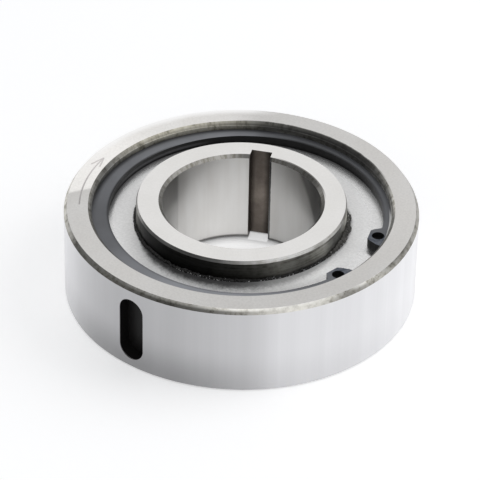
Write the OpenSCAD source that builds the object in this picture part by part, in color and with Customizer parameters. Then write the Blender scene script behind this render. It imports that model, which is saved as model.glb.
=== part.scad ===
// Sprag clutch, the one-way kind that sits between a keyed shaft and a keyed housing.
// Millimetres. Z runs along the bore, the rear face of the outer ring lies on Z = 0.
// Names that start with "front" are at the high Z end, the end with the direction arrow.

/* [Outer ring] */
// Width of the outer ring
outer_w = 27; // [24:0.5:40]
// Wall between the outside and each recessed mouth
rim_wall = 7.8; // [6:0.1:12]
// Step from the mouth in to the race, the shoulder that an end plate rests on
shoulder_step = 2.2; // [1.5:0.1:4]
// Front outside edge bevel, measured across the face
outer_bevel_across = 0.95; // [0.4:0.05:1.5]
// Front outside edge bevel, measured down the side
outer_bevel_down = 1.45; // [0.4:0.05:2]
// Rear outside edge bevel, the same both ways
outer_rear_bevel = 0.3; // [0.1:0.05:1]
// Bevel at the edge of each mouth
mouth_bevel = 1; // [0.3:0.05:1.4]

/* [Key slot in the outer ring] */
// Width of the slot, the key's own width
slot_w = 8; // [5:0.5:10]
// Length of the slot with its two round ends
slot_len = 20; // [14:0.5:21]
// Depth of the slot from the outside diameter
slot_deep = 4; // [3.5:0.1:4.5]
// Drop of the slot's middle below the middle of the ring's width
slot_drop = 0.8; // [0:0.1:1.5]

/* [Direction arrow] */
// Distance of the arrow's shaft in from the outside
arrow_in = 4.4; // [3.5:0.1:5]
// Width of each cut line
arrow_line = 0.45; // [0.3:0.05:0.8]
// Depth of each cut line
arrow_deep = 0.15; // [0.1:0.05:0.4]
// Angle of the arrow's tip
arrow_tip_angle = 187; // [150:1:240]
// Angle that the curved shaft spans
arrow_span = 31; // [15:1:45]
// Length of each barb
arrow_barb = 4.8; // [2:0.1:5]
// Lean of each barb from the shaft
arrow_lean = 17; // [12:1:25]

/* [Inner ring] */
// Bore diameter, the shaft's own diameter
bore_d = 45; // [35:0.5:60]
// Length that the inner ring stands proud of the outer ring's front face
inner_proud = 1.6; // [0:0.1:5]
// Wall between the bore and the neck that an end plate runs on
neck_wall = 7.2; // [6:0.1:12]
// Rise from the neck up to the race
race_lift = 2; // [1:0.1:4]
// Bevel at the front end of the bore
bore_bevel = 0.9; // [0.3:0.05:1.5]
// Bevel at the rear end of the bore
bore_rear_bevel = 0.5; // [0.1:0.05:1.5]
// Bevel at the end of each neck, measured across the ring's face
neck_bevel_across = 0.4; // [0.1:0.05:0.8]
// Bevel at the end of each neck, measured along the axis
neck_bevel_down = 0.95; // [0.1:0.05:1.5]

/* [Keyway in the bore] */
// Width of the keyway, the key's own width
keyway_w = 6; // [5:0.5:8]
// Depth of the keyway from the bore's wall
keyway_deep = 3.1; // [2.5:0.1:4]
// Angle of the keyway round the axis
keyway_angle = 113.6; // [90:0.1:180]

/* [Circlips] */
// Depth of each circlip's face below the face of the outer ring
clip_depth = 2.4; // [1.8:0.1:3]
// Thickness of each circlip
clip_thick = 2.5; // [1.5:0.1:3]
// Depth of the groove that a circlip springs into
groove_bite = 1.75; // [1:0.05:2]
// Play between a circlip and the walls of its groove
groove_play = 0.05; // [0.02:0.01:0.1]
// Mean band of a circlip across its face
clip_band = 5.15; // [4.5:0.05:6]
// Shift of the inner edge, which makes the band widest opposite the gap
clip_shift = 1.3; // [0.5:0.1:2]
// Turn of that shift from the middle of the gap
clip_swing = 36; // [0:1:45]
// Angle of the front circlip's gap
clip_angle = 5; // [-30:1:30]
// Turn of the rear circlip against the front one
clip_rear_turn = 180; // [90:5:270]
// Width of the gap between the two lugs
clip_gap = 14.2; // [12:0.1:18]
// Diameter of the plier hole in each lug
lug_hole_d = 3.5; // [2.5:0.1:4]
// Distance of each plier hole's centre in from the mouth's wall
lug_hole_in = 2.6; // [2.4:0.1:3.4]
// Metal between a plier hole and the gap
lug_wall = 2.1; // [1.2:0.1:2.5]
// Metal between a plier hole and the lug's tip
lug_tip_wall = 0.8; // [0.6:0.1:1.5]
// Width of a lug at its tip
lug_tip_w = 4; // [3:0.1:5]
// Cut across each corner of a lug's tip
lug_corner = 0.85; // [0.3:0.05:1.2]
// Spread of a lug's root where it runs into the band
lug_flare = 1.2; // [0.2:0.1:2]

/* [End plates] */
// Thickness of each end plate
plate_thick = 3; // [2:0.1:4]
// Bevel round each end plate
plate_bevel = 0.4; // [0.1:0.05:0.8]
// Clearance between an end plate and its mouth, on the radius
plate_seat = 0.02; // [0.01:0.01:0.05]
// Running clearance between an end plate and the neck, on the radius
neck_play = 0.05; // [0.02:0.01:0.1]
// Play along the axis between an end plate and what turns beside it
side_play = 0.1; // [0.05:0.01:0.2]

/* [Sprags] */
// Height of the space between the two races, the sprag's own height
race_gap = 8.3; // [7.5:0.1:12]
// Space left between a resting sprag and each race
sprag_play = 0.03; // [0.02:0.005:0.05]
// Sideways offset of each cam's centre, which sets the wedge angle
cam_offset = 0.35; // [0.2:0.05:0.6]
// Distance of each cam's centre past the middle of the sprag
cam_past = 0.8; // [0.4:0.05:1.2]
// Share of the pitch that a sprag fills
sprag_share = 0.63; // [0.5:0.01:0.65]
// Width of the waist as a share of the sprag
waist_share = 0.72; // [0.6:0.01:0.85]
// Radius of the hollow on each side of the waist
waist_r = 2.6; // [2:0.1:4]

/* [Cage and garter springs] */
// Thickness of the cage's web
cage_web = 1.6; // [1:0.1:2]
// Thickness of the cage's end flanges
cage_flange = 0.6; // [0.4:0.05:1]
// Clearance between the cage and the outer race, on the radius
cage_play = 0.05; // [0.02:0.01:0.1]
// Space between a sprag and the edges of its window
window_play = 0.35; // [0.3:0.01:0.5]
// Space between the ends of a sprag and the cage's flanges
sprag_end_play = 0.1; // [0.05:0.01:0.2]
// Diameter of each garter spring's coil
spring_d = 1.8; // [1.2:0.1:2]
// Space between the cage's web and a garter spring
spring_lift = 0.5; // [0.4:0.05:0.8]
// Space round a garter spring in a sprag's notch
notch_play = 0.35; // [0.3:0.01:0.4]
// Metal left between a notch and the end of a sprag
notch_lip = 0.65; // [0.5:0.05:1]

/* [Hidden] */

// Number of sprags, each with a module of its own below
sprag_count = 24;
// Overlap that lets a cut run past a face
past = 1;
// Corners of a round shape
$fn = 120;
spring_facets = 32;

// Radii from the bore outwards, which end at the clutch's outside
bore_r = bore_d / 2;
neck_r = bore_r + neck_wall;
inner_race_r = neck_r + race_lift;
mid_r = inner_race_r + race_gap / 2;
outer_race_r = inner_race_r + race_gap;
mouth_r = outer_race_r + shoulder_step;
outer_r = mouth_r + rim_wall;
arrow_r = outer_r - arrow_in;

// Heights along the axis
mid_z = outer_w / 2;
inner_len = outer_w + inner_proud;
plate_top = clip_depth + clip_thick;
shoulder_depth = plate_top + plate_thick;
chamber_w = outer_w - 2 * shoulder_depth;
race_w = chamber_w - 2 * side_play;

// Circlip, drawn with its gap on the X axis
clip_r = mouth_r + groove_bite - groove_play;
clip_bore_r = clip_r - clip_band;
lug_hole_reach = mouth_r - lug_hole_in;
lug_hole_side = clip_gap / 2 + lug_wall + lug_hole_d / 2;
lug_hole_angle = asin(lug_hole_side / lug_hole_reach);
lug_tip_reach = lug_hole_reach - lug_hole_d / 2 - lug_tip_wall;
lug_root_w = lug_hole_d + 2 * lug_wall;

// Cage
cage_in_r = mid_r - cage_web / 2;
cage_out_r = mid_r + cage_web / 2;
cage_rim_r = outer_race_r - cage_play;
window_w = race_w - 2 * cage_flange;

// Garter springs
spring_r = spring_d / 2;
spring_ring_r = cage_out_r + spring_lift + spring_r;
notch_floor_r = spring_ring_r - spring_r - notch_play;
notch_w = spring_d + 2 * notch_play;

// Sprags
sprag_pitch = 360 / sprag_count;
sprag_w = sprag_share * 2 * mid_r * sin(sprag_pitch / 2);
sprag_len = window_w - 2 * sprag_end_play;
waist_w = waist_share * sprag_w;
outer_cam_r = outer_race_r - sprag_play - norm([cam_offset, mid_r - cam_past]);
inner_cam_r = norm([cam_offset, mid_r + cam_past]) - inner_race_r - sprag_play;
spring_off = sprag_len / 2 - notch_lip - notch_w / 2;

// Colours
steel_colour = [0.78, 0.78, 0.79];
plate_colour = [0.72, 0.72, 0.73];
clip_colour = [0.26, 0.28, 0.31];
cage_colour = [0.62, 0.6, 0.55];
spring_colour = [0.5, 0.51, 0.53];
sprag_colour = [0.66, 0.67, 0.7];

// Corners of one half of the outer ring, from its side over the face and down the mouth to the race
function half_corners(bevel_across, bevel_down) =
    let (half_w = outer_w / 2)
    [
        [outer_r, half_w - bevel_down],
        [outer_r - bevel_across, half_w],
        [mouth_r + mouth_bevel, half_w],
        [mouth_r, half_w - mouth_bevel],
        [mouth_r, half_w - clip_depth + groove_play],
        [mouth_r + groove_bite, half_w - clip_depth + groove_play],
        [mouth_r + groove_bite, half_w - plate_top],
        [mouth_r, half_w - plate_top],
        [mouth_r, half_w - shoulder_depth],
        [outer_race_r, half_w - shoulder_depth]
    ];

// Corners of the front half
function front_half_corners() = half_corners(outer_bevel_across, outer_bevel_down);

// Corners of the rear half, in the order that closes the outline
function rear_half_corners() =
    let (half = half_corners(outer_rear_bevel, outer_rear_bevel))
    [for (n = [len(half) - 1 : -1 : 0]) [half[n][0], -half[n][1]]];

// Round-ended key slot, drawn where the ring's side faces the -Y direction
module key_slot() {
    straight = slot_len - slot_w;
    translate([0, slot_deep - outer_r, mid_z - slot_drop])
    rotate([90, 0, 0])
    linear_extrude(height = slot_deep + past) {
        square([slot_w, straight], center = true);
        for (end = [-1, 1]) translate([0, end * straight / 2]) circle(d = slot_w);
    }
}

// Cut lines of the direction arrow: a curved shaft and two barbs that meet at its tip
module arrow_lines() {
    translate([0, 0, outer_w - arrow_deep]) {
        rotate([0, 0, arrow_tip_angle])
        rotate_extrude(angle = arrow_span)
        translate([arrow_r - arrow_line / 2, 0])
        square([arrow_line, arrow_deep + past]);
        rotate([0, 0, arrow_tip_angle])
        translate([arrow_r, 0, 0])
        for (side = [-1, 1])
            rotate([0, 0, side * arrow_lean])
            translate([-arrow_line / 2, 0, 0])
            cube([arrow_line, arrow_barb, arrow_deep + past]);
    }
}

// Outer ring with both mouths, circlip grooves, the race, the key slot and the arrow
module outer_ring() {
    color(steel_colour)
    difference() {
        translate([0, 0, mid_z])
        rotate_extrude()
        polygon(concat(front_half_corners(), rear_half_corners()));
        key_slot();
        arrow_lines();
    }
}

// Inner ring: the shaft's bore and keyway, a neck at each end and the raised race between them
module inner_ring() {
    race_low = mid_z - race_w / 2;
    race_high = mid_z + race_w / 2;
    color(steel_colour)
    difference() {
        rotate_extrude()
        polygon([
            [bore_r + bore_rear_bevel, 0],
            [neck_r - neck_bevel_across, 0],
            [neck_r, neck_bevel_down],
            [neck_r, race_low],
            [inner_race_r, race_low],
            [inner_race_r, race_high],
            [neck_r, race_high],
            [neck_r, inner_len - neck_bevel_down],
            [neck_r - neck_bevel_across, inner_len],
            [bore_r + bore_bevel, inner_len],
            [bore_r, inner_len - bore_bevel],
            [bore_r, bore_rear_bevel]
        ]);
        rotate([0, 0, keyway_angle])
        translate([0, -keyway_w / 2, -past])
        cube([bore_r + keyway_deep, keyway_w, inner_len + 2 * past]);
    }
}

// One end plate, its inward face on Z = 0
module end_plate() {
    plate_r = mouth_r - plate_seat;
    hole_r = neck_r + neck_play;
    rotate_extrude()
    polygon([
        [hole_r + plate_bevel, 0],
        [plate_r - plate_bevel, 0],
        [plate_r, plate_bevel],
        [plate_r, plate_thick - plate_bevel],
        [plate_r - plate_bevel, plate_thick],
        [hole_r + plate_bevel, plate_thick],
        [hole_r, plate_thick - plate_bevel],
        [hole_r, plate_bevel]
    ]);
}

// Front end plate on its shoulder
module front_end_plate() {
    color(plate_colour)
    translate([0, 0, outer_w - shoulder_depth])
    end_plate();
}

// Rear end plate on its shoulder
module rear_end_plate() {
    color(plate_colour)
    translate([0, 0, plate_top])
    end_plate();
}

// One lug of a circlip with its root in the band, drawn pointing in along the X axis
module lug() {
    polygon([
        [lug_tip_reach, -lug_tip_w / 2],
        [lug_tip_reach + lug_corner, -lug_tip_w / 2 - lug_corner],
        [lug_hole_reach, -lug_root_w / 2],
        [lug_hole_reach + lug_flare / 2, -lug_root_w / 2 - lug_flare],
        [clip_r - groove_bite, -lug_root_w / 2 - lug_flare],
        [clip_r - groove_bite, lug_root_w / 2 + lug_flare],
        [lug_hole_reach + lug_flare / 2, lug_root_w / 2 + lug_flare],
        [lug_hole_reach, lug_root_w / 2],
        [lug_tip_reach + lug_corner, lug_tip_w / 2 + lug_corner],
        [lug_tip_reach, lug_tip_w / 2]
    ]);
}

// Outline of a circlip: a band that is widest opposite its gap, and two lugs with plier holes
module clip_outline() {
    difference() {
        union() {
            difference() {
                circle(r = clip_r);
                rotate(clip_swing) translate([clip_shift, 0]) circle(r = clip_bore_r);
            }
            for (side = [-1, 1]) rotate(side * lug_hole_angle) lug();
        }
        translate([0, -clip_gap / 2]) square([outer_r, clip_gap]);
        for (side = [-1, 1]) rotate(side * lug_hole_angle) translate([lug_hole_reach, 0]) circle(d = lug_hole_d);
    }
}

// Front circlip against the front end plate
module front_circlip() {
    color(clip_colour)
    translate([0, 0, outer_w - plate_top])
    rotate([0, 0, clip_angle])
    linear_extrude(height = clip_thick)
    clip_outline();
}

// Rear circlip against the rear end plate
module rear_circlip() {
    color(clip_colour)
    translate([0, 0, clip_depth])
    rotate([0, 0, clip_angle + clip_rear_turn])
    linear_extrude(height = clip_thick)
    clip_outline();
}

// Cage: a thin web with one window per sprag, and two flanges guided by the outer race
module sprag_cage() {
    window_wide = sprag_w + 2 * window_play;
    color(cage_colour)
    translate([0, 0, mid_z])
    difference() {
        rotate_extrude()
        polygon([
            [cage_in_r, -race_w / 2],
            [cage_rim_r, -race_w / 2],
            [cage_rim_r, -window_w / 2],
            [cage_out_r, -window_w / 2],
            [cage_out_r, window_w / 2],
            [cage_rim_r, window_w / 2],
            [cage_rim_r, race_w / 2],
            [cage_in_r, race_w / 2]
        ]);
        for (n = [0 : sprag_count - 1])
            rotate([0, 0, n * sprag_pitch])
            translate([0, -window_wide / 2, -window_w / 2])
            cube([outer_race_r, window_wide, window_w]);
    }
}

// One garter spring, the plain ring that its close coils make
module garter_spring() {
    rotate_extrude()
    translate([spring_ring_r, 0])
    circle(r = spring_r, $fn = spring_facets);
}

// Front garter spring in the front notches of the sprags
module front_garter_spring() {
    color(spring_colour)
    translate([0, 0, mid_z + spring_off])
    garter_spring();
}

// Rear garter spring in the rear notches of the sprags
module rear_garter_spring() {
    color(spring_colour)
    translate([0, 0, mid_z - spring_off])
    garter_spring();
}

// Outline of a sprag: two offset cams that share a body with a waist, drawn standing out along the X axis
module sprag_outline() {
    hollow_off = waist_w / 2 + waist_r;
    difference() {
        intersection() {
            translate([mid_r - cam_past, -cam_offset]) circle(r = outer_cam_r);
            translate([mid_r + cam_past, cam_offset]) circle(r = inner_cam_r);
            translate([inner_race_r, -sprag_w / 2]) square([race_gap, sprag_w]);
        }
        for (side = [-1, 1]) translate([mid_r, side * hollow_off]) circle(r = waist_r);
    }
}

// Groove that a garter spring passes through, cut in the outer side of a sprag
module spring_notch() {
    rotate_extrude()
    translate([notch_floor_r, -notch_w / 2])
    square([outer_race_r - notch_floor_r, notch_w]);
}

// One sprag with its two notches, turned to its own place in the ring
module placed_sprag(place) {
    rotate([0, 0, place * sprag_pitch])
    translate([0, 0, mid_z])
    difference() {
        linear_extrude(height = sprag_len, center = true) sprag_outline();
        for (end = [-1, 1]) translate([0, 0, end * spring_off]) spring_notch();
    }
}

// Sprag 1 of the ring, counted counter-clockwise
module sprag_01() {
    color(sprag_colour)
    placed_sprag(0);
}

// Sprag 2 of the ring, counted counter-clockwise
module sprag_02() {
    color(sprag_colour)
    placed_sprag(1);
}

// Sprag 3 of the ring, counted counter-clockwise
module sprag_03() {
    color(sprag_colour)
    placed_sprag(2);
}

// Sprag 4 of the ring, counted counter-clockwise
module sprag_04() {
    color(sprag_colour)
    placed_sprag(3);
}

// Sprag 5 of the ring, counted counter-clockwise
module sprag_05() {
    color(sprag_colour)
    placed_sprag(4);
}

// Sprag 6 of the ring, counted counter-clockwise
module sprag_06() {
    color(sprag_colour)
    placed_sprag(5);
}

// Sprag 7 of the ring, counted counter-clockwise
module sprag_07() {
    color(sprag_colour)
    placed_sprag(6);
}

// Sprag 8 of the ring, counted counter-clockwise
module sprag_08() {
    color(sprag_colour)
    placed_sprag(7);
}

// Sprag 9 of the ring, counted counter-clockwise
module sprag_09() {
    color(sprag_colour)
    placed_sprag(8);
}

// Sprag 10 of the ring, counted counter-clockwise
module sprag_10() {
    color(sprag_colour)
    placed_sprag(9);
}

// Sprag 11 of the ring, counted counter-clockwise
module sprag_11() {
    color(sprag_colour)
    placed_sprag(10);
}

// Sprag 12 of the ring, counted counter-clockwise
module sprag_12() {
    color(sprag_colour)
    placed_sprag(11);
}

// Sprag 13 of the ring, counted counter-clockwise
module sprag_13() {
    color(sprag_colour)
    placed_sprag(12);
}

// Sprag 14 of the ring, counted counter-clockwise
module sprag_14() {
    color(sprag_colour)
    placed_sprag(13);
}

// Sprag 15 of the ring, counted counter-clockwise
module sprag_15() {
    color(sprag_colour)
    placed_sprag(14);
}

// Sprag 16 of the ring, counted counter-clockwise
module sprag_16() {
    color(sprag_colour)
    placed_sprag(15);
}

// Sprag 17 of the ring, counted counter-clockwise
module sprag_17() {
    color(sprag_colour)
    placed_sprag(16);
}

// Sprag 18 of the ring, counted counter-clockwise
module sprag_18() {
    color(sprag_colour)
    placed_sprag(17);
}

// Sprag 19 of the ring, counted counter-clockwise
module sprag_19() {
    color(sprag_colour)
    placed_sprag(18);
}

// Sprag 20 of the ring, counted counter-clockwise
module sprag_20() {
    color(sprag_colour)
    placed_sprag(19);
}

// Sprag 21 of the ring, counted counter-clockwise
module sprag_21() {
    color(sprag_colour)
    placed_sprag(20);
}

// Sprag 22 of the ring, counted counter-clockwise
module sprag_22() {
    color(sprag_colour)
    placed_sprag(21);
}

// Sprag 23 of the ring, counted counter-clockwise
module sprag_23() {
    color(sprag_colour)
    placed_sprag(22);
}

// Sprag 24 of the ring, counted counter-clockwise
module sprag_24() {
    color(sprag_colour)
    placed_sprag(23);
}

outer_ring();
inner_ring();
front_end_plate();
rear_end_plate();
front_circlip();
rear_circlip();
sprag_cage();
front_garter_spring();
rear_garter_spring();
sprag_01();
sprag_02();
sprag_03();
sprag_04();
sprag_05();
sprag_06();
sprag_07();
sprag_08();
sprag_09();
sprag_10();
sprag_11();
sprag_12();
sprag_13();
sprag_14();
sprag_15();
sprag_16();
sprag_17();
sprag_18();
sprag_19();
sprag_20();
sprag_21();
sprag_22();
sprag_23();
sprag_24();
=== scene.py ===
"""Looks of the sprag clutch: materials, the grease at the neck, studio floor, lights and camera."""
import math

import bpy
from mathutils import Matrix, Vector, noise


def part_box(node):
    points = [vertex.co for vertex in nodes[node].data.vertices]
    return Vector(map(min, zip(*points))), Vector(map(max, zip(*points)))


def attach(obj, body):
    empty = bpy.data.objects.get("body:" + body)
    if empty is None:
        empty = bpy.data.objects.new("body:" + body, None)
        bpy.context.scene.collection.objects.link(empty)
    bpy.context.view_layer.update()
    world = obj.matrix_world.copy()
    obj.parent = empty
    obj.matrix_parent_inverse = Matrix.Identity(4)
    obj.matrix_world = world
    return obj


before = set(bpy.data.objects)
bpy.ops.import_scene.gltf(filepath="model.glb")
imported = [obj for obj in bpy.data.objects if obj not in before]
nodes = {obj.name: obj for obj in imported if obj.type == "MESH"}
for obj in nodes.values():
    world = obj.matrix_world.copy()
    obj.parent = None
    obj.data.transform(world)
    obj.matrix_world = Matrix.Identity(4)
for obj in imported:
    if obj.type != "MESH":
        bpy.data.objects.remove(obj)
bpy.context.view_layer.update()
scene = bpy.context.scene
MM = 0.001
WHITE = (1.0, 1.0, 1.0)

# Heights of the front faces, taken from the solids, in metres
FACE_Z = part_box("outer_ring")[1].z
HUB_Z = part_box("inner_ring")[1].z
PLATE_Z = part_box("front_end_plate")[1].z
CLIP_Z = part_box("front_circlip")[1].z

# Angles are in degrees round the axis, counter-clockwise from X as seen from the front. The lists
# of tones round the axis follow the photograph: its brightness, and in places its colour, was read
# at places of the part, and the stops were listed and tuned until the render agreed. A scratch
# script then rewrote most lists as one tone for each stop and one tint for the list
# Most of these tones paint light, shade and reflections into the colour, as light and dark sectors
# round the axis, over the steel's own colour and dirt

# Sizes of the solids that the masks follow, in metres
MOUTH_R = 42.2 * MM
MOUTH_EDGE_R = MOUTH_R + 1.0 * MM
FACE_EDGE_R = 49.05 * MM
FACE_BEVEL = 1.45 * MM
NECK_R = 29.7 * MM
NECK_BEVEL = 0.95 * MM
BORE_R = 22.5 * MM

# The front circlip's bore is shifted towards one angle and its lugs stand at another; the rear
# circlip is turned against it
CLIP_BORE_R = 38.75 * MM
CLIP_SHIFT = 1.3 * MM
CLIP_LEAN = 41
LUGS_AT = 5
REAR_TURN = 180

# Keyway in the bore
KEYWAY_AT = 113.6
KEYWAY_HALF = 3.0 * MM

# Walls of the arrow's groove and of the outer key slot: least and greatest radius, then height
ARROW_RADII = (43.5 * MM, 48.5 * MM)
ARROW_HEIGHTS = (FACE_Z - 0.4 * MM, FACE_Z - 0.05 * MM)
SLOT_RADII = (44.3 * MM, 49.7 * MM)
SLOT_HEIGHTS = (2.6 * MM, 22.8 * MM)

# Slant of the painted light and dark sectors of the face and of the painted reflection in the bore:
# degrees a sector turns for each mm
FACE_SLANT = 0.675
BORE_SLANT = 1.78

# Turning marks for each metre, and the fine grain of steel
MARKS = 3200.0
PLATE_MARKS = 2600.0
GRAIN = 1600.0


def lin(*values):
    """Linear colour of a colour written as it looks on a screen, one value for a grey."""
    values = values * 3 if len(values) == 1 else values
    return tuple(v / 12.92 if v <= 0.04045 else ((v + 0.055) / 1.055) ** 2.4 for v in values)


class Nodes:
    """Writes the nodes of one tree as short chains of calls."""

    def __init__(self, tree):
        self.tree = tree
        tree.nodes.clear()

    def new(self, kind, **settings):
        node = self.tree.nodes.new("ShaderNode" + kind)
        for name, value in settings.items():
            setattr(node, name, value)
        return node

    def put(self, socket, value):
        """Links an output to the socket, or sets the socket to a plain value."""
        if isinstance(value, bpy.types.NodeSocket):
            self.tree.links.new(value, socket)
        elif isinstance(value, (tuple, list)) and len(value) == 3 and socket.type == "RGBA":
            socket.default_value = (*value, 1)
        else:
            socket.default_value = value

    def math(self, kind, *values):
        node = self.new("Math", operation=kind)
        for socket, value in zip(node.inputs, values):
            self.put(socket, value)
        return node.outputs[0]

    def add(self, a, b):
        return self.math("ADD", a, b)

    def sub(self, a, b):
        return self.math("SUBTRACT", a, b)

    def mul(self, product, *others):
        """Product of all the values."""
        for value in others:
            product = self.math("MULTIPLY", product, value)
        return product

    def over(self, a, b):
        return self.math("DIVIDE", a, b)

    def most(self, largest, *others):
        """Largest of all the values."""
        for value in others:
            largest = self.math("MAXIMUM", largest, value)
        return largest

    def scaled(self, value, factor, plus):
        """The value times a factor, plus another value."""
        return self.math("MULTIPLY_ADD", value, factor, plus)

    def invert(self, value):
        return self.sub(1.0, value)

    def split(self, vector):
        """The three parts of a vector."""
        node = self.new("SeparateXYZ")
        self.put(node.inputs[0], vector)
        return node.outputs

    def ramp(self, value, stops):
        """Colour by a value; each stop is a place from 0 to 1 and a linear colour."""
        node = self.new("ValToRGB")
        self.put(node.inputs[0], value)
        elements = node.color_ramp.elements
        while len(elements) < len(stops):
            elements.new(0.5)
        for element, (place, colour) in zip(elements, stops):
            element.position = place
            element.color = (*colour, 1)
        return node.outputs[0]

    def seen(self):
        """1 for the camera's rays and for those through glass or off a shiny surface."""
        path = self.new("LightPath").outputs
        return self.most(path["Is Camera Ray"], path["Is Transmission Ray"], path["Is Glossy Ray"])


class Graph(Nodes):
    """Nodes of a material, with the surface's place and direction in the part's own frame."""

    def __init__(self, name):
        self.mat = bpy.data.materials.new(name)
        self.mat.use_nodes = True
        super().__init__(self.mat.node_tree)
        self.shader = self.new("BsdfPrincipled")
        self.put(self.new("OutputMaterial").inputs[0], self.shader.outputs[0])
        self.coord = self.new("TexCoord").outputs["Object"]
        self.x, self.y, self.z = self.split(self.coord)
        self.r = self.length(self.x, self.y)
        self.cx = self.over(self.x, self.r)
        self.cy = self.over(self.y, self.r)
        normal = self.new(
            "VectorTransform", vector_type="NORMAL", convert_from="WORLD", convert_to="OBJECT",
        )
        self.put(normal.inputs[0], self.new("NewGeometry").outputs["Normal"])
        self.nz = self.split(normal.outputs[0])[2]
        self.turn = self.scaled(self.math("ARCTAN2", self.y, self.x), 1 / math.tau, 0.5)

    def length(self, x, y):
        return self.math("SQRT", self.add(self.mul(x, x), self.mul(y, y)))

    def step(self, value, low, high):
        """0 below low, 1 above high, smooth between."""
        node = self.new("MapRange", interpolation_type="SMOOTHSTEP")
        for socket, number in zip(node.inputs, (value, low, high, 0, 1)):
            self.put(socket, number)
        return node.outputs[0]

    def fall(self, value, low, high):
        """1 below low, 0 above high, smooth between."""
        return self.invert(self.step(value, low, high))

    def band(self, value, low, high, soft):
        """1 between low and high."""
        rise = self.step(value, low - soft, low + soft)
        return self.mul(rise, self.fall(value, high - soft, high + soft))

    def vector(self, *parts):
        node = self.new("CombineXYZ")
        for socket, value in zip(node.inputs, parts):
            self.put(socket, value)
        return node.outputs[0]

    def around(self, scale, along):
        """Coordinates that change round the axis, and along it by the second figure."""
        turned = (self.mul(value, scale) for value in (self.cx, self.cy))
        return self.vector(*turned, self.mul(self.z, along))

    def noise(self, vector, scale, detail=3.0, rough=0.5):
        node = self.new("TexNoise")
        self.put(node.inputs["Vector"], vector)
        node.inputs["Scale"].default_value = scale
        node.inputs["Detail"].default_value = detail
        node.inputs["Roughness"].default_value = rough
        return node.outputs[0]

    def round_noise(self, scale, along, detail, rough):
        """Noise with one scale round the axis and one along it."""
        return self.noise(self.around(scale, along), 1.0, detail, rough)

    def lines(self, value, scale, detail):
        """Noise in fine lines round the axis, a new line at each small step of the value."""
        place = self.vector(self.mul(value, scale), self.cx, self.cy)
        return self.noise(place, 1.0, detail, 0.6)

    def mix(self, factor, a, b, blend="MIX"):
        """Colour a where the factor is 0, colour b where it is 1."""
        node = self.new("Mix", data_type="RGBA", blend_type=blend)
        for place, value in ((0, factor), (6, a), (7, b)):
            self.put(node.inputs[place], value)
        return node.outputs[2]

    def times(self, a, b):
        """Colour a darkened by colour b."""
        return self.mix(1.0, a, b, "MULTIPLY")

    def shade(self, colour, mask, tone):
        """Colour darkened by a tone where the mask is 1."""
        return self.times(colour, self.mix(mask, WHITE, tone))

    def tones(self, value, stops):
        """Colour by a value; each stop is a place and one or three screen values."""
        return self.ramp(value, [(place, lin(*screen)) for place, *screen in stops])

    def speckle(self, colour, value, stops):
        """Colour darkened by the tones of a value."""
        return self.times(colour, self.tones(value, stops))

    def round_ramp(self, stops, tint=WHITE, turn=None):
        """Colour by the angle round the axis; each stop is an angle and a tone of the tint."""
        closed = [*stops, (180, stops[0][1])]
        return self.ramp(self.turn if turn is None else turn, [
            (angle / 360 + 0.5, lin(*(tone * part for part in tint))) for angle, tone in closed
        ])

    def round_value(self, stops, top):
        """Number by the angle round the axis, up to top; each stop is an angle and a number."""
        closed = [*stops, (180, stops[0][1])]
        split = self.new("SeparateColor")
        self.put(split.inputs[0], self.ramp(self.turn, [
            (angle / 360 + 0.5, (value / top,) * 3) for angle, value in closed
        ]))
        return self.mul(split.outputs[0], top)

    def toward(self, angle, spread, soft=4.0):
        """1 within that many degrees of an angle round the axis."""
        a = math.radians(angle)
        dot = self.add(self.mul(self.cx, math.cos(a)), self.mul(self.cy, math.sin(a)))
        least, most = (math.cos(math.radians(spread + side)) for side in (soft, -soft))
        return self.step(dot, least, most)

    def reach(self, distance, angle):
        """Distance from a line beside the axis, that far off at that angle."""
        a = math.radians(angle)
        return self.length(
            self.sub(self.x, distance * math.cos(a)), self.sub(self.y, distance * math.sin(a)),
        )

    def edge(self, radius):
        """1 on the sharp edges of the solid."""
        bevel = self.new("Bevel", samples=6)
        bevel.inputs[0].default_value = radius
        dot = self.new("VectorMath", operation="DOT_PRODUCT")
        self.put(dot.inputs[0], bevel.outputs[0])
        self.put(dot.inputs[1], self.new("NewGeometry").outputs["Normal"])
        return self.step(self.invert(dot.outputs["Value"]), 0.03, 0.12)

    def bump(self, height, strength, distance):
        node = self.new("Bump")
        self.put(node.inputs["Height"], height)
        node.inputs["Strength"].default_value = strength
        node.inputs["Distance"].default_value = distance
        return node.outputs[0]

    def finish(self, colour, rough, metallic, normal, **sockets):
        self.put(self.shader.inputs["Base Color"], colour)
        self.put(self.shader.inputs["Roughness"], rough)
        self.put(self.shader.inputs["Metallic"], metallic)
        self.put(self.shader.inputs["Normal"], normal)
        for name, value in sockets.items():
            self.put(self.shader.inputs[name.replace("_", " ")], value)
        return self.mat


def turned_marks(g):
    """Height of the fine rings on flat faces and of the fine lines round cylinders."""
    on_faces = g.lines(g.r, MARKS, 2.0)
    on_walls = g.lines(g.z, MARKS, 2.0)
    flat = g.step(g.math("ABSOLUTE", g.nz), 0.6, 0.9)
    return g.add(g.mul(on_faces, flat), g.mul(on_walls, g.invert(flat)))


def outer_side(g, streak, fine):
    """The outer ring's ground cylinder, with painted light and reflections as tones round the axis,
    and a little darker near the floor as painted shade.
    """
    side = g.round_ramp([
        (-180, 0.88), (-140, 0.94), (-126, 0.90), (-113, 0.80), (-98, 0.73), (-76, 0.72),
        (-58, 0.77), (-47, 0.81), (-41, 0.88), (-12, 0.91), (22, 0.96), (60, 0.90), (110, 0.85),
        (150, 0.89),
    ], (0.993, 0.992, 1))
    # Painted shade: darker near the floor
    side = g.shade(side, g.fall(g.z, 1.0 * MM, 14.0 * MM), g.round_ramp([
        (-180, 0.97), (-125, 0.93), (-105, 0.85), (-70, 0.84), (-45, 0.94), (0, 0.97),
    ]))
    marks = g.add(g.mul(streak, 0.7), g.mul(fine, 0.3))
    return g.speckle(side, marks, [(0.3, 0.965), (0.7, 1.0)])


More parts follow.
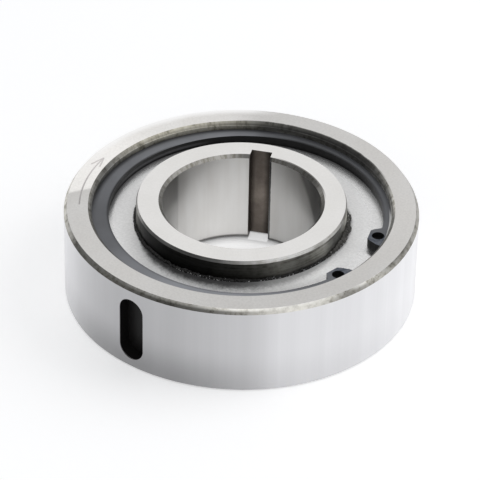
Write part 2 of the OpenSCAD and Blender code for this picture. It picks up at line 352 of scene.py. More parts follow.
def outer_face(g, cloud):
    """The outer ring's front face, with a painted highlight sector on the left, painted light and
    dark sectors round it, and a pale edge behind as a painted highlight.
    """
    slant = g.mul(g.sub(MOUTH_EDGE_R, g.r), FACE_SLANT / 360 / MM)
    face = g.round_ramp([
        (-180, 0.965), (-153.4, 0.955), (-152, 0.80), (-100, 0.81), (-60, 0.78), (-20, 0.78),
        (12, 0.81), (30, 0.825), (118, 0.79), (130, 0.87), (158, 0.895), (170, 0.94),
    ], (1, 0.995, 0.987), g.add(g.turn, slant))
    face = g.speckle(face, cloud, [(0.3, 0.975, 0.97, 0.965), (0.7, 1.0)])
    face = g.speckle(face, g.noise(g.coord, GRAIN, 2.0, 0.6), [(0.35, 0.965), (0.65, 1.0)])
    # Pale outer edge behind: painted highlight
    outward = g.step(g.scaled(cloud, 1.2 * MM, g.r), 46.6 * MM, 49.6 * MM)
    pale = g.mul(outward, g.toward(152, 32, 8.0))
    return g.mix(g.mul(pale, 0.9), face, lin(0.97))


def face_bevel(g, grime):
    """The outer ring's dirty front bevel; its tones round the axis, with their own values near the
    face and near the side, are partly its dirt and partly painted light and reflections.
    """
    top = g.round_ramp([
        (-180, 0.91), (-140, 0.79), (-126, 0.61), (-120, 0.38), (-94, 0.44), (-84, 0.53),
        (-68, 0.58), (-60, 0.79), (-53, 0.91), (-34, 0.90), (-24, 0.88), (-18, 0.59), (-10, 0.86),
        (-4, 0.73), (3, 0.55), (14, 0.49), (24, 0.64), (42, 0.63), (80, 0.81),
    ], (1, 0.996, 0.978))
    low = g.round_ramp([
        (-180, 0.91), (-140, 0.85), (-126, 0.65), (-120, 0.34), (-100, 0.38), (-76, 0.28),
        (-64, 0.35), (-57, 0.45), (-51, 0.61), (-45, 0.78), (-36, 0.90), (-26, 0.80), (-18, 0.53),
        (-10, 0.61), (-4, 0.74), (3, 0.64), (12, 0.58), (24, 0.69), (42, 0.69), (80, 0.81),
    ], (1, 0.993, 0.968))
    down = g.over(g.sub(FACE_Z, g.z), FACE_BEVEL)
    bevel = g.mix(g.step(down, 0.1, 0.65), top, low)
    dirt = g.tones(grime, [(0.36, 0.66, 0.65, 0.62), (0.50, 0.93, 0.925, 0.91), (0.62, 1.0)])
    clean = g.mul(g.toward(-38, 10, 8.0), 0.6)
    return g.times(bevel, g.mix(clean, dirt, WHITE))


def mouth_wall(g, oil):
    """The oily wall of the mouth and the small bevel above it, with tones round the axis and with
    height that are partly oil and partly painted light, shade and bright highlights.
    """
    wall_high = g.round_ramp([
        (-180, 0.61), (-160, 0.48), (-130, 0.39), (0, 0.50), (28, 0.89), (40, 0.65), (50, 0.45),
        (60, 0.34), (70, 0.25), (94, 0.27), (100, 0.36), (108, 0.28), (118, 0.32), (130, 0.67),
        (150, 0.77), (160, 0.81), (170, 0.69),
    ], (0.998, 1, 0.985))
    wall_low = g.round_ramp([
        (-180, 0.43), (-160, 0.31), (-130, 0.43), (0, 0.55), (28, 0.93), (40, 0.67), (50, 0.65),
        (60, 0.51), (70, 0.30), (98, 0.33), (110, 0.41), (118, 0.34), (130, 0.44), (150, 0.60),
        (160, 0.43), (170, 0.57),
    ], (1, 0.999, 0.98))
    lip_high = g.round_ramp([
        (-180, 0.57), (-168, 0.39), (-150, 0.63), (-125, 0.47), (0, 0.55), (30, 0.50), (40, 0.98),
        (50, 0.71), (60, 0.43), (70, 0.19), (100, 0.27), (118, 0.38), (130, 0.65), (140, 0.75),
        (150, 0.82), (162, 0.79),
    ], (1, 0.999, 0.978))
    lip_low = g.round_ramp([
        (-180, 0.56), (-168, 0.41), (-150, 0.40), (-125, 0.35), (0, 0.45), (30, 0.50), (40, 0.37),
        (50, 0.43), (60, 0.28), (70, 0.13), (100, 0.10), (118, 0.22), (130, 0.43), (140, 0.59),
        (150, 0.61), (162, 0.60),
    ], (1, 0.998, 0.985))
    wall = g.mix(g.step(g.z, CLIP_Z, FACE_Z - 1.0 * MM), wall_low, wall_high)
    lip = g.mix(g.step(g.z, FACE_Z - 0.85 * MM, FACE_Z - 0.15 * MM), lip_low, lip_high)
    mouth = g.mix(g.step(g.r, MOUTH_R + 0.05 * MM, MOUTH_R + 0.15 * MM), wall, lip)
    mouth = g.speckle(mouth, oil, [(0.36, 0.66, 0.65, 0.62), (0.5, 0.94, 0.93, 0.91), (0.66, 1.0)])
    return g.shade(mouth, g.toward(150, 28, 12.0), lin(1.0, 0.99, 0.955))


def outer_ring_material():
    """Ground steel with painted light and reflections round the axis, a dirty front bevel and an
    oiled mouth that also carry painted light and shade, a slot painted near black as shade, and an
    etched arrow.
    """
    g = Graph("outer_ring_steel")
    cloud = g.noise(g.coord, 60.0, 3.0)
    streak = g.round_noise(9.0, 4.0, 4.0, 0.6)
    fine = g.round_noise(60.0, 12.0, 3.0, 0.7)
    grime = g.round_noise(26.0, 700.0, 4.0, 0.65)
    oil = g.round_noise(22.0, 420.0, 5.0, 0.65)
    colour = g.mix(g.step(g.nz, 0.7, 0.95), outer_side(g, streak, fine), outer_face(g, cloud))

    on_bevel = g.mul(
        g.band(g.z, FACE_Z - FACE_BEVEL, FACE_Z - 0.02 * MM, 0.03 * MM),
        g.step(g.r, FACE_EDGE_R - 0.15 * MM, FACE_EDGE_R - 0.05 * MM),
    )
    colour = g.mix(on_bevel, colour, face_bevel(g, grime))
    in_mouth = g.step(g.sub(MOUTH_EDGE_R, g.r), -0.01 * MM, 0.02 * MM)
    colour = g.mix(in_mouth, colour, mouth_wall(g, oil))
    rim = g.fall(g.scaled(oil, 0.5 * MM, g.r), MOUTH_EDGE_R + 0.45 * MM, MOUTH_EDGE_R + 0.75 * MM)
    spill = g.mul(g.toward(92, 32, 8.0), rim, g.invert(in_mouth))
    colour = g.mix(spill, colour, lin(0.30, 0.30, 0.29))

    # Etched arrow, paler towards its head as painted light, like the face around it
    arrow = g.mul(
        g.band(g.z, *ARROW_HEIGHTS, 0.02 * MM),
        g.band(g.r, *ARROW_RADII, 0.05 * MM),
    )
    colour = g.mix(arrow, colour, g.round_ramp([
        (-180, 0.93), (-164, 0.90), (-154, 0.82), (-145, 0.74),
    ], (1, 0.98, 0.968)))
    # Slot painted near black and dull, as painted shade in its depth
    in_slot = g.mul(g.band(g.r, *SLOT_RADII, 0.05 * MM), g.band(g.z, *SLOT_HEIGHTS, 0.05 * MM))
    colour = g.mix(in_slot, colour, lin(0.06, 0.055, 0.055))

    dirty = g.most(on_bevel, in_mouth, in_slot)
    clean = g.invert(dirty)
    # Sharp edges paler, as wear and as painted highlight
    wear_and_glint = g.mul(g.edge(0.12 * MM), g.step(fine, 0.4, 0.6), clean)
    colour = g.mix(g.mul(wear_and_glint, 0.6), colour, lin(0.95))
    rough = g.add(g.mul(g.scaled(fine, 0.10, 0.30), clean), g.mul(g.scaled(grime, 0.3, 0.3), dirty))
    dull = g.most(in_slot, arrow, g.mul(in_mouth, 0.6))
    height = g.add(turned_marks(g), g.mul(grime, dirty, 3.0))
    return g.finish(
        colour, rough, g.invert(dull), g.bump(height, 0.12, 0.02 * MM), Specular_IOR_Level=0.25,
    )


def hub_face(g, cloud):
    """The inner ring's flat face, stained beside the keyway."""
    hatch = g.round_noise(160.0, 0.0, 2.0, 0.6)
    face = g.tones(
        g.add(g.mul(cloud, 0.6), g.mul(hatch, 0.4)),
        [(0.3, 0.86, 0.855, 0.845), (0.7, 0.89, 0.885, 0.88)],
    )
    face = g.speckle(face, g.noise(g.coord, GRAIN, 2.0, 0.6), [(0.35, 0.985), (0.65, 1.0)])
    stain = g.mul(g.toward(72, 24, 10.0), g.fall(g.r, BORE_R + 1.2 * MM, BORE_R + 1.45 * MM))
    return g.shade(face, stain, lin(0.46, 0.455, 0.45))


def bore_wall(g, streak):
    """The bore, with painted reflections: tones round the axis, a darker top, a slanted dark band
    opposite the camera and a smaller dark area up high; and a dark line at the floor as painted
    shadow.
    """
    bore = g.round_ramp([
        (-180, 0.80), (-164, 0.70), (-150, 0.66), (-60, 0.76), (0, 0.68), (40, 0.54), (62, 0.66),
        (80, 0.70), (100, 0.73), (126, 0.88), (142, 0.90), (160, 0.88), (174, 0.81),
    ], (1, 0.996, 0.988))
    # Painted light: darker towards the top
    bore = g.shade(bore, g.step(g.z, 12.0 * MM, 26.0 * MM), g.round_ramp([
        (-180, 0.90), (-150, 0.97), (0, 0.92), (50, 0.78), (75, 0.80), (95, 0.92), (126, 1.0),
        (165, 0.98),
    ]))
    blotch = g.round_noise(5.0, 60.0, 3.0, 0.5)
    marks = g.add(g.mul(streak, 0.4), g.mul(blotch, 0.6))
    bore = g.speckle(bore, marks, [(0.35, 0.96, 0.955, 0.95), (0.62, 1.0)])
    # Painted reflection: slanted dark band
    slanted = g.scaled(g.sub(HUB_Z, g.z), BORE_SLANT / 360 / MM, g.turn)
    glare = [(30, 0.93), (50, 0.66), (79, 0.66), (83.5, 0.96), (95, 1.0)]
    bore = g.speckle(bore, slanted, [(angle / 360 + 0.5, tone) for angle, tone in glare])
    # Painted reflection: dark area up high on one side
    patch = g.mul(g.toward(-166, 13, 2.0), g.step(g.z, 17.0 * MM, 21.0 * MM))
    bore = g.shade(bore, patch, lin(0.84))
    # Painted shadow: dark line at the floor
    return g.shade(bore, g.fall(g.z, 0.7 * MM, 1.3 * MM), lin(0.55))


def neck_wall(g, soot, on_rim):
    """The sooty neck, with tones round the axis that are partly soot and partly painted light and
    reflections, darker towards its foot as painted shade, and the cleaner bevel above it with
    painted light round the axis.
    """
    neck = g.round_ramp([
        (-180, 0.68), (-150, 0.72), (-143, 0.81), (-136, 0.68), (-126, 0.27), (-118, 0.11),
        (-108, 0.10), (-70, 0.19), (-54, 0.32), (-42, 0.45), (-32, 0.63), (-20, 0.53), (-3, 0.66),
        (6, 0.41), (14, 0.43), (24, 0.83), (34, 0.99),
    ], (1, 0.996, 0.97))
    neck = g.speckle(neck, soot, [(0.38, 0.66, 0.65, 0.63), (0.5, 0.90, 0.90, 0.88), (0.62, 1.0)])
    # Painted shade: darker towards the foot by the plate
    up = g.over(g.sub(g.z, PLATE_Z), HUB_Z - PLATE_Z)
    neck = g.speckle(neck, up, [(0.05, 0.60), (0.45, 0.88), (0.9, 1.0)])
    rim = g.round_ramp([
        (-180, 0.62), (-164, 0.54), (-152, 0.62), (-142, 0.75), (-130, 0.94), (-120, 0.48),
        (-108, 0.33), (-96, 0.35), (-88, 0.26), (-76, 0.25), (-66, 0.34), (-58, 0.53), (-48, 0.71),
        (-36, 0.90), (-20, 0.93), (-6, 0.80), (0, 0.88), (14, 0.81), (22, 0.67), (40, 0.74),
        (60, 0.87),
    ], (1, 0.996, 0.984))
    rim = g.speckle(rim, soot, [(0.38, 0.82, 0.81, 0.79), (0.55, 1.0)])
    return g.mix(on_rim, neck, rim)


def bore_bevel(g):
    """The bore's stained front bevel, with tones round the axis that are partly stain and partly
    painted light and reflections.
    """
    bevel = g.round_ramp([
        (-180, 0.54), (-160, 0.47), (-130, 0.46), (-70, 0.71), (-30, 0.60), (-15, 0.34), (0, 0.31),
        (15, 0.28), (30, 0.39), (50, 0.53), (60, 0.35), (70, 0.29), (100, 0.36), (124, 0.39),
        (132, 0.55), (140, 0.66), (150, 0.61), (166, 0.55),
    ], (1, 0.992, 0.969))
    speck = g.round_noise(30.0, 300.0, 5.0, 0.7)
    return g.speckle(bevel, speck, [(0.38, 0.80, 0.79, 0.76), (0.55, 1.0)])


def keyway(g, colour, flat):
    """The colour with the dull keyway, darker on its right side and at top and bottom as painted
    shade, and a dark ragged strip along its right edge; also the keyway's mask.
    """
    a = math.radians(KEYWAY_AT)
    outward = g.add(g.mul(g.x, math.cos(a)), g.mul(g.y, math.sin(a)))
    sideways = g.sub(g.mul(g.y, math.cos(a)), g.mul(g.x, math.sin(a)))
    up = g.over(g.z, HUB_Z)
    dirt = g.noise(g.coord, 180.0, 4.0, 0.65)
    dull = g.tones(dirt, [
        (0.3, 0.43, 0.40, 0.375), (0.55, 0.515, 0.48, 0.45), (0.8, 0.59, 0.555, 0.525),
    ])
    # Painted shade: darker towards the right side
    dull = g.speckle(dull, g.scaled(sideways, 0.5 / KEYWAY_HALF, 0.5), [
        (0.04, 0.55), (0.16, 0.60), (0.40, 0.97), (0.80, 1.0), (0.97, 0.85),
    ])
    # Painted shade: darker at top and bottom
    dull = g.speckle(dull, up, [
        (0.05, 0.80), (0.30, 0.98), (0.60, 1.0), (0.80, 0.84), (0.95, 0.80),
    ])
    near = g.mul(
        g.step(outward, BORE_R - 1.5 * MM, BORE_R - 1.1 * MM),
        g.invert(flat),
        g.fall(g.r, BORE_R + 4.0 * MM, BORE_R + 4.5 * MM),
    )
    half = g.math("ABSOLUTE", sideways)
    inside = g.mul(near, g.fall(half, KEYWAY_HALF + 0.02 * MM, KEYWAY_HALF + 0.06 * MM))
    colour = g.mix(inside, colour, dull)
    # Dark ragged strip along the right edge, darker towards the top
    ragged = g.scaled(dirt, 0.5 * MM, sideways)
    beside = g.band(ragged, -KEYWAY_HALF - 0.28 * MM, -KEYWAY_HALF + 0.4 * MM, 0.06 * MM)
    dark = g.tones(up, [(0.1, 0.40), (0.5, 0.30), (0.9, 0.22)])
    return g.mix(g.mul(beside, near, g.invert(inside)), colour, dark), inside


def inner_ring_material():
    """Bright steel with painted light and reflections round the axis, a sooty neck, a stained bevel
    in the bore and a dull keyway.
    """
    g = Graph("inner_ring_steel")
    cloud = g.noise(g.coord, 70.0, 3.0)
    streak = g.round_noise(7.0, 3.0, 3.0, 0.6)
    fine = g.round_noise(50.0, 14.0, 3.0, 0.7)
    soot = g.add(
        g.mul(g.round_noise(3.5, 1500.0, 4.0, 0.6), 0.65),
        g.mul(g.round_noise(15.0, 450.0, 4.0, 0.65), 0.35),
    )
    flat = g.step(g.nz, 0.7, 0.95)
    colour = g.mix(flat, bore_wall(g, streak), hub_face(g, cloud))

    rim_z = HUB_Z - NECK_BEVEL
    on_rim = g.step(g.z, rim_z - 0.1 * MM, rim_z + 0.1 * MM)
    on_neck = g.mul(
        g.step(g.r, NECK_R - 0.5 * MM, NECK_R - 0.44 * MM),
        g.fall(g.z, HUB_Z - 0.04 * MM, HUB_Z - 0.01 * MM),
    )
    colour = g.mix(on_neck, colour, neck_wall(g, soot, on_rim))
    on_bevel = g.mul(
        g.band(g.nz, 0.3, 0.9, 0.05),
        g.fall(g.r, BORE_R + 1.0 * MM, BORE_R + 1.3 * MM),
    )
    colour = g.mix(on_bevel, colour, bore_bevel(g))
    colour, in_keyway = keyway(g, colour, flat)

    dirty = g.most(on_neck, on_bevel, in_keyway)
    # Sharp edges paler, as wear and as painted highlight
    wear_and_glint = g.mul(g.edge(0.12 * MM), g.invert(dirty))
    colour = g.mix(g.mul(wear_and_glint, 0.6), colour, lin(0.95))
    rough = g.add(g.scaled(fine, 0.10, 0.27), g.mul(dirty, 0.15))
    metal = g.scaled(g.mul(on_neck, on_rim), -0.6, 1.0)
    height = g.add(turned_marks(g), g.mul(soot, dirty, 3.0))
    return g.finish(colour, rough, metal, g.bump(height, 0.10, 0.02 * MM))


def plate_material():
    """Satin turned steel, with black grease and painted shadow and reflection of the neck spreading
    out from the neck in front.
    """
    g = Graph("plate_steel")
    cloud = g.noise(g.coord, 45.0, 4.0, 0.6)
    colour = g.tones(cloud, [(0.3, 0.905), (0.7, 0.935)])
    colour = g.speckle(colour, g.noise(g.coord, 1500.0, 2.0, 0.6), [(0.35, 0.955), (0.65, 1.0)])
    polish = g.step(g.r, 33.5 * MM, 37.0 * MM)
    colour = g.shade(colour, polish, lin(0.94))

    # Reach in mm past the neck of the dark grease and painted shadow, and how dense it is
    reach = g.round_value([
        (-180, 0.3), (-156, 0.7), (-144, 0.75), (-138, 0.6), (-126, 0.65), (-120, 0.9),
        (-114, 1.5), (-108, 2.1), (-102, 2.6), (-90, 3.15), (-72, 3.7), (-58, 4.0), (-48, 3.8),
        (-38, 3.3), (-26, 2.6), (-8, 2.0), (0, 1.2), (8, 1.1), (16, 1.3), (44, 1.2), (56, 0.3),
    ], 4.0)
    cover = g.round_value([
        (-180, 0.6), (-150, 0.85), (-120, 0.95), (-100, 1.0), (-58, 0.95), (-46, 0.8), (-38, 0.52),
        (-28, 0.46), (-8, 0.40), (4, 0.6), (12, 0.9), (44, 0.9), (60, 0.5),
    ], 1.0)
    ragged = g.noise(g.coord, 650.0, 5.0, 0.7)
    fleck = g.noise(g.coord, 3000.0, 2.0, 0.6)
    past = g.over(g.sub(g.r, NECK_R), g.mul(reach, MM))
    past = g.add(past, g.mul(g.sub(ragged, 0.5), 0.9))
    past = g.add(past, g.mul(g.sub(fleck, 0.5), 0.35))
    front = g.step(g.z, PLATE_Z - 0.05 * MM, PLATE_Z - 0.01 * MM)
    grease_and_shadow = g.mul(g.fall(past, 0.42, 1.58), cover, front)

    # Thin dark band along the circlip's inner edge at the back: painted shadow and reflection of
    # the circlip's wall, with some stain
    inward = g.sub(CLIP_BORE_R, g.reach(CLIP_SHIFT, CLIP_LEAN))
    clip_shadow_and_stain = g.fall(g.scaled(ragged, -1.0 * MM, inward), -0.2 * MM, 0.9 * MM)
    clip_shadow_and_stain = g.mul(clip_shadow_and_stain, g.toward(138, 76, 10.0), front, 0.75)
    grease_and_shadow = g.most(grease_and_shadow, clip_shadow_and_stain)
    colour = g.mix(grease_and_shadow, colour, lin(0.17, 0.17, 0.17))

    rough = g.add(g.scaled(cloud, 0.08, 0.38), g.mul(polish, -0.18))
    metal = g.scaled(grease_and_shadow, -0.85, 0.95)
    height = g.mul(g.lines(g.r, PLATE_MARKS, 3.0), g.scaled(polish, -0.7, 1.0))
    tangent = g.new("Tangent", direction_type="RADIAL", axis="Z")
    return g.finish(
        colour, rough, metal, g.bump(height, 0.05, 0.01 * MM),
        Anisotropic=0.95, Anisotropic_Rotation=0.25, Tangent=tangent.outputs[0],
    )


def clip_material(name, low, high, turned):
    """Dark phosphate of a circlip between two heights, turned by an angle from the front one, with
    painted light round the axis, painted shade by its inner edge, on its outer part behind and on
    its inner wall, and painted highlights.
    """
    lugs_at = LUGS_AT + turned
    g = Graph(name)
    grain = g.noise(g.coord, 1500.0, 3.0, 0.6)
    cloud = g.noise(g.coord, 120.0, 3.0)
    # Painted light: tones round the axis
    top = g.round_ramp([
        (-180, 0.49), (-160, 0.45), (-140, 0.40), (-120, 0.42), (-95, 0.56), (-75, 0.62),
        (-50, 0.61), (-32, 0.50), (-12, 0.46), (25, 0.43), (60, 0.38), (100, 0.39), (116, 0.46),
        (122, 0.55), (135, 0.56), (165, 0.54),
    ], (0.953, 0.967, 1))
    top = g.speckle(top, cloud, [(0.3, 0.93), (0.7, 1.0)])
    # Painted shade: darker band along the inner edge
    from_edge = g.sub(g.reach(CLIP_SHIFT, CLIP_LEAN + turned), CLIP_BORE_R)
    near_edge = g.mul(g.fall(from_edge, 0.15 * MM, 0.85 * MM), g.invert(g.toward(lugs_at, 25)))
    top = g.shade(top, near_edge, g.round_ramp([
        (-180, 0.34), (-155, 0.36), (-140, 0.60), (-125, 0.85), (30, 0.90), (60, 0.60), (75, 0.50),
        (104, 0.50), (113, 0.85), (120, 1.0), (152, 1.0), (166, 0.62),
    ]))
    mottle = g.noise(g.coord, 700.0, 3.0, 0.6)
    top = g.shade(top, g.toward(lugs_at, 17, 3.0), g.tones(mottle, [
        (0.36, 0.62, 0.65, 0.70), (0.52, 0.86, 0.89, 0.95), (0.64, 0.97, 0.99, 1.0),
    ]))
    # Painted shade: darker outer part behind, by the mouth's wall
    outward = g.mul(g.step(g.r, MOUTH_R - 1.8 * MM, MOUTH_R - 0.1 * MM), g.toward(162, 50, 10.0))
    top = g.shade(top, outward, lin(0.66))
    # Painted highlight: bright line near the outer edge beside the lugs
    glint = g.mul(
        g.step(g.r, MOUTH_R - 0.58 * MM, MOUTH_R - 0.45 * MM),
        g.toward(lugs_at + 22, 10, 4.0), 0.8,
    )
    top = g.mix(glint, top, lin(0.85))

    # Inner wall near black as painted shade, with one paler line on the left as a painted
    # highlight, then both and the paler edges, as wear and as painted highlight
    down = g.over(g.sub(high, g.z), high - low)
    line = g.mul(g.band(down, 0.42, 0.72, 0.1), g.toward(168, 22, 8.0))
    side = g.mix(line, lin(0.05, 0.05, 0.055), lin(0.28, 0.28, 0.29))
    flat = g.step(g.nz, 0.5, 0.9)
    colour = g.mix(flat, side, top)
    wear_and_glint = g.mul(g.edge(0.1 * MM), g.step(cloud, 0.5, 0.65))
    colour = g.mix(g.mul(wear_and_glint, 0.35), colour, lin(0.58, 0.585, 0.60))
    return g.finish(
        colour, g.scaled(grain, 0.15, 0.38), g.scaled(flat, 0.3, 0.2),
        g.bump(grain, 0.04, 0.01 * MM), Specular_IOR_Level=0.3,
    )


def inner_material(name, low, high, rough, scale):
    """Plain steel of the hidden pieces, between two linear colours."""
    g = Graph(name)
    grain = g.noise(g.coord, scale, 4.0, 0.6)
    colour = g.ramp(grain, [(0.3, low), (0.7, high)])
    return g.finish(colour, g.scaled(grain, 0.15, rough), 1.0, g.bump(grain, 0.15, 0.02 * MM))


def grease_material():
    """Black grease with bright flecks along its foot as painted glints, greyer and drier on the
    right.
    """
    g = Graph("grease")
    lump = g.noise(g.coord, 900.0, 4.0, 0.6)
    # Painted glints: bright flecks along the foot of the bead
    foot = g.fall(g.z, PLATE_Z + 0.25 * MM, PLATE_Z + 0.5 * MM)
    fleck = g.scaled(foot, 0.08, g.noise(g.coord, 1800.0, 2.0, 0.6))
    fleck = g.mul(g.step(fleck, 0.66, 0.70), g.invert(g.toward(-124, 32, 6.0)), 0.7)
    black = g.tones(lump, [(0.35, 0.06), (0.8, 0.14, 0.138, 0.133)])
    grey = g.tones(lump, [(0.35, 0.17, 0.165, 0.155), (0.75, 0.36, 0.355, 0.34)])
    colour = g.mix(g.toward(26, 22, 8.0), black, grey)
    colour = g.mix(fleck, colour, lin(0.80))
    return g.finish(
        colour, g.scaled(lump, 0.3, 0.4), 0.0, g.bump(lump, 0.6, 0.1 * MM), Specular_IOR_Level=0.3,
    )


def give(obj, material):
    obj.data.materials.clear()
    obj.data.materials.append(material)


# Width and height of the grease bead in mm at angles round the axis
BEAD = [
    (-180, 0.3, 0.2), (-156, 0.6, 0.25), (-149, 0.8, 0.35), (-141, 0.6, 0.7), (-120, 0.7, 0.9),
    (-96, 0.6, 0.8), (-60, 0.5, 0.7), (-30, 0.3, 0.6), (-8, 0.3, 0.7), (5, 0.6, 1.0),
    (14, 1.1, 1.5), (30, 1.25, 1.6), (42, 1.1, 1.0), (60, 0.4, 0.35), (110, 0.25, 0.2),
    (180, 0.3, 0.2),
]
BEAD_STEPS = 1500
BEAD_ACROSS = 11

# Least width and height in mm, the greatest swelling, and the gaps to the neck and the plate
BEAD_LEAST = (0.12, 0.08)
BEAD_SWELL = 0.22 * MM
NECK_GAP = 0.04 * MM
BACK_GAP = 0.005 * MM
UNDER_GAP = 0.002 * MM


def bead_size(angle):
    """Width and height of the bead at an angle, on straight lines between the stops."""
    for (a, wide_a, tall_a), (b, wide_b, tall_b) in zip(BEAD, BEAD[1:]):
        if angle <= b:
            t = (angle - a) / (b - a)
            return wide_a + (wide_b - wide_a) * t, tall_a + (tall_b - tall_a) * t
    return BEAD[-1][1:]


def bead_section(a):
    """Points of the bead's section at an angle, over its back and then under it at the neck."""
    wide, tall = bead_size(math.degrees(a))
    place = Vector((math.cos(a), math.sin(a), 0)) * (NECK_R / MM)
    slow, lump, fine = (
        noise.noise(place * scale + Vector((0, 0, level)))
        for scale, level in ((0.35, 0), (1.1, 5), (2.6, 9))
    )
    wide = max(wide * (1 + 0.35 * slow + 0.4 * lump + 0.3 * fine), BEAD_LEAST[0]) * MM
    tall = max(tall * (1 + 0.3 * slow - 0.5 * lump + 0.4 * fine), BEAD_LEAST[1]) * MM
    inner = NECK_R + NECK_GAP
    points = []
    for j in range(BEAD_ACROSS):
        t = j / (BEAD_ACROSS - 1)
        r = inner + wide * math.sin(t * math.pi / 2)
        z = PLATE_Z + BACK_GAP + tall * math.cos(t * math.pi / 2)
        spot = Vector((place.x * 1.7, place.y * 1.7, t * 3.0))
        swell = noise.noise(spot) * BEAD_SWELL * math.sin(t * math.pi)
        points.append((r + swell, max(z + swell, PLATE_Z + 2 * UNDER_GAP)))
    points.append((inner, PLATE_Z + UNDER_GAP))
    return [(r * math.cos(a), r * math.sin(a), z) for r, z in points]


def make_grease():
    """A ragged, lumpy bead of grease round the neck."""
    verts, faces = [], []
    ring = BEAD_ACROSS + 1
    for i in range(BEAD_STEPS):
        verts += bead_section(math.tau * (i / BEAD_STEPS - 0.5))
        k = (i + 1) % BEAD_STEPS
        for j in range(ring):
            m = (j + 1) % ring
            faces.append((i * ring + j, i * ring + m, k * ring + m, k * ring + j))
    mesh = bpy.data.meshes.new("neck_grease")
    mesh.from_pydata(verts, [], faces)
    mesh.update()
    for poly in mesh.polygons:
        poly.use_smooth = True
    obj = bpy.data.objects.new("neck_grease", mesh)
    scene.collection.objects.link(obj)
    give(obj, grease_material())
    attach(obj, "housing")


# Half the floor's side and how far it lies below the part, in metres
FLOOR_HALF = 3
FLOOR_GAP = 0.2 * MM
FLOOR_COLOUR = (0.9, 0.9, 0.9)

# How bright the floor is seen outside the part, through the bore and through the keyway; the
# brighter floor through the bore and the keyway is painted light, and the dark ring round the
# bore's foot is painted shadow
FLOOR_GLOW = 0.34
BORE_GLOW = 0.52
KEY_GLOW = 0.48

# Middle and half length of the keyway's opening on the floor, out from the axis
KEY_GLOW_R = 23.5 * MM
KEY_GLOW_HALF = 1.9 * MM


def make_floor():
    """Pale floor that shows as white, also in reflections, and keeps the shadow, with painted light
    through the bore and the keyway and a painted shadow round the bore's foot.
    """
    s = FLOOR_HALF
    mesh = bpy.data.meshes.new("floor")
    mesh.from_pydata([(-s, -s, 0), (s, -s, 0), (s, s, 0), (-s, s, 0)], [], [(0, 1, 2, 3)])
    floor = bpy.data.objects.new("floor", mesh)
    floor.location.z = -FLOOR_GAP
    scene.collection.objects.link(floor)
    mat = bpy.data.materials.new("floor")
    mat.use_nodes = True
    n = Nodes(mat.node_tree)
    coord = n.new("TexCoord").outputs["Object"]
    away = n.new("VectorMath", operation="LENGTH")
    n.put(away.inputs[0], coord)
    # Painted light inside the bore and painted shadow round its foot
    under = n.ramp(away.outputs["Value"], [(place, (level,) * 3) for place, level in (
        (0.0, BORE_GLOW), (BORE_R - 0.4 * MM, BORE_GLOW),
        (BORE_R + 0.1 * MM, 0.0), (BORE_R + 4 * MM, FLOOR_GLOW),
    )])
    turned = n.new("Mapping", vector_type="TEXTURE")
    n.put(turned.inputs["Vector"], coord)
    turned.inputs["Rotation"].default_value = (0, 0, math.radians(KEYWAY_AT))
    outward, sideways, _ = n.split(turned.outputs[0])
    # Painted light in the keyway's opening
    in_key = n.mul(
        n.math("COMPARE", sideways, 0.0, KEYWAY_HALF - 0.1 * MM),
        n.math("COMPARE", outward, KEY_GLOW_R, KEY_GLOW_HALF),
    )
    glow = n.new("Emission")
    n.put(glow.inputs[0], WHITE)
    n.put(glow.inputs[1], n.mul(n.seen(), n.most(under, n.mul(in_key, KEY_GLOW))))
    diffuse = n.new("BsdfDiffuse")
    n.put(diffuse.inputs[0], FLOOR_COLOUR)
    add = n.new("AddShader")
    n.put(add.inputs[0], diffuse.outputs[0])
    n.put(add.inputs[1], glow.outputs[0])
    n.put(n.new("OutputMaterial").inputs[0], add.outputs[0])
    floor.data.materials.append(mat)


# Colour and strength of the world's light, and of what is seen of the world
WORLD_LIGHT = ((0.97, 0.98, 1.0), 0.6)
WORLD_SEEN = (WHITE, 1.0)


def make_world():
    """Soft even light, and plain white where the world is seen or mirrored."""
    world = bpy.data.worlds.new("studio")
    scene.world = world
    world.use_nodes = True
    n = Nodes(world.node_tree)
    mix = n.new("MixShader")
    n.put(mix.inputs[0], n.seen())
    for socket, (colour, strength) in zip(list(mix.inputs)[1:], (WORLD_LIGHT, WORLD_SEEN)):
        background = n.new("Background")
        n.put(background.inputs[0], colour)
        n.put(background.inputs[1], strength)
        n.put(socket, background.outputs[0])
    n.put(n.new("OutputWorld").inputs[0], mix.outputs[0])


# Name, place, size and power of each lamp, and the point at which all aim
LAMPS = [
    ("key", (0.62, 0.62, 0.85), (0.9, 0.9), 3.0),
    ("fill", (0.3, -0.9, 0.6), (0.6, 0.6), 0.9),
]
LAMP_AIM = (0, 0, 0.01)


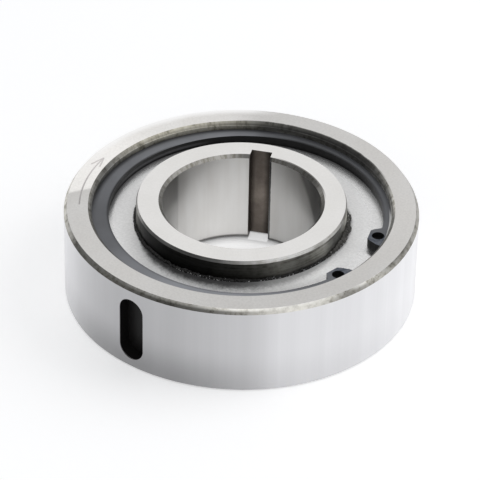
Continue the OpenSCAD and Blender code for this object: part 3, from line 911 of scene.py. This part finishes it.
def make_lamp(name, place, size, power):
    data = bpy.data.lights.new(name, "AREA")
    data.shape = "RECTANGLE"
    data.size, data.size_y = size
    data.energy = power
    lamp = bpy.data.objects.new(name, data)
    scene.collection.objects.link(lamp)
    lamp.location = place
    aim = Vector(LAMP_AIM) - Vector(place)
    lamp.rotation_euler = aim.to_track_quat("-Z", "Y").to_euler()


# Camera at the photograph's place, worked out from the rings' own ellipses
LENS = 230.858
SENSOR = 36
CAMERA_PLACE = (0.421075, -0.573661, 0.519748)
CAMERA_RIGHT = (0.79909, 0.601001, 0.015916)
CAMERA_UP = (-0.358233, 0.454712, 0.815418)
CAMERA_BACK = (0.48283, -0.657293, 0.578654)


def make_camera():
    data = bpy.data.cameras.new("camera")
    data.lens = LENS
    data.sensor_width = SENSOR
    data.clip_end = 10
    cam = bpy.data.objects.new("camera", data)
    scene.collection.objects.link(cam)
    turn = Matrix((CAMERA_RIGHT, CAMERA_UP, CAMERA_BACK)).transposed().to_4x4()
    cam.matrix_world = Matrix.Translation(CAMERA_PLACE) @ turn
    scene.camera = cam


# Material of each solid, found by the end of its name; the sprags take the last
rear_low, rear_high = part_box("rear_circlip")
looks = [
    ("outer_ring", outer_ring_material()),
    ("inner_ring", inner_ring_material()),
    ("end_plate", plate_material()),
    ("front_circlip", clip_material("front_clip_phosphate", PLATE_Z, CLIP_Z, 0)),
    ("rear_circlip", clip_material("rear_clip_phosphate", rear_low.z, rear_high.z, REAR_TURN)),
    ("sprag_cage", inner_material(
        "cage_steel", (0.42, 0.40, 0.36), (0.58, 0.56, 0.51), 0.3, 300.0)),
    ("garter_spring", inner_material(
        "spring_steel", (0.36, 0.37, 0.39), (0.50, 0.51, 0.53), 0.28, 800.0)),
    ("", inner_material("sprag_steel", (0.56, 0.57, 0.60), (0.70, 0.71, 0.74), 0.16, 500.0)),
]
for name, obj in nodes.items():
    give(obj, next(material for ending, material in looks if name.endswith(ending)))

make_grease()
make_floor()
make_world()
make_camera()
for lamp in LAMPS:
    make_lamp(*lamp)
scene.view_settings.view_transform = "Standard"
